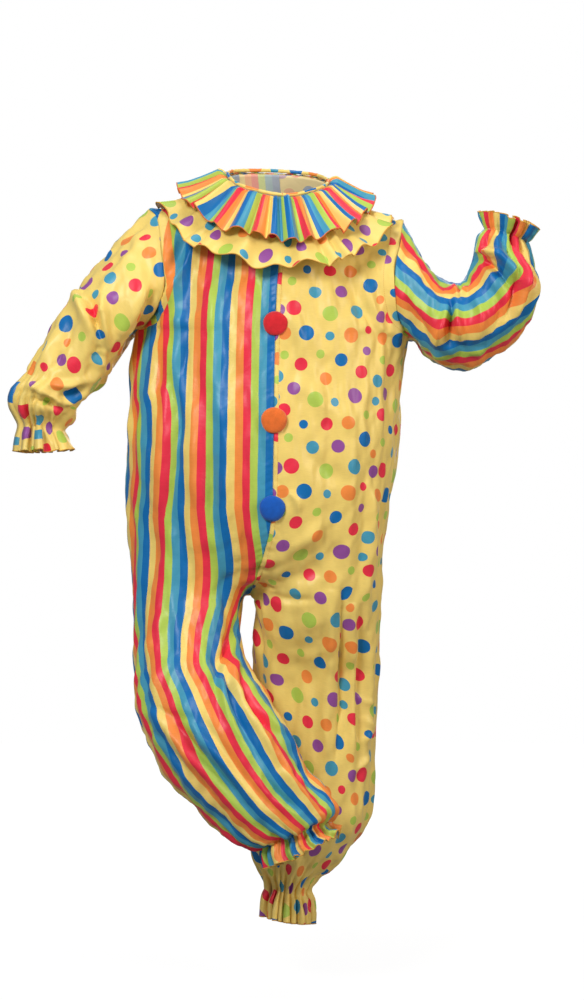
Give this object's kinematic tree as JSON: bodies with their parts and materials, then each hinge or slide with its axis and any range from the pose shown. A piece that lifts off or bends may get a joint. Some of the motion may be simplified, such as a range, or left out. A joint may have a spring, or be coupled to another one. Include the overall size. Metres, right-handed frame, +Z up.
{
  "type": "clown costume",
  "caption": "One-piece clown costume as worn, one half striped and the other dotted, with swapped sleeves, a two-tier gathered collar, covered buttons and elastic cuffs with frills",
  "frame": {"origin": "the middle of the neck opening, level with the mean height of the neckband, where the wearer's neck and shoulders hold the costume up", "axes": "+Z up along the body, -Y out of the front of the costume, +X towards the wearer's left; the worn pose has the left forearm raised and the right leg crossed in front of the left"},
  "size_m": [1.0023, 0.4192, 1.4487],
  "materials": {
    "striped": "satin woven in lengthwise stripes of blue, light blue, green, red, orange and yellow",
    "dotted": "yellow satin printed with round dots of six colours in three sizes",
    "button_top": "red felt over a dome",
    "button_middle": "orange felt over a dome",
    "button_bottom": "blue felt over a dome"
  },
  "bodies": {
    "root": {"body_front_right": "striped", "body_back_right": "striped", "body_front_left": "dotted", "body_back_left": "dotted", "sleeve_right": "dotted", "sleeve_left": "striped", "collar_tier_upper": "striped", "collar_tier_lower": "dotted", "neckband": "dotted", "button_top": "button_top", "button_middle": "button_middle", "button_bottom": "button_bottom"}
  },
  "joints": []
}
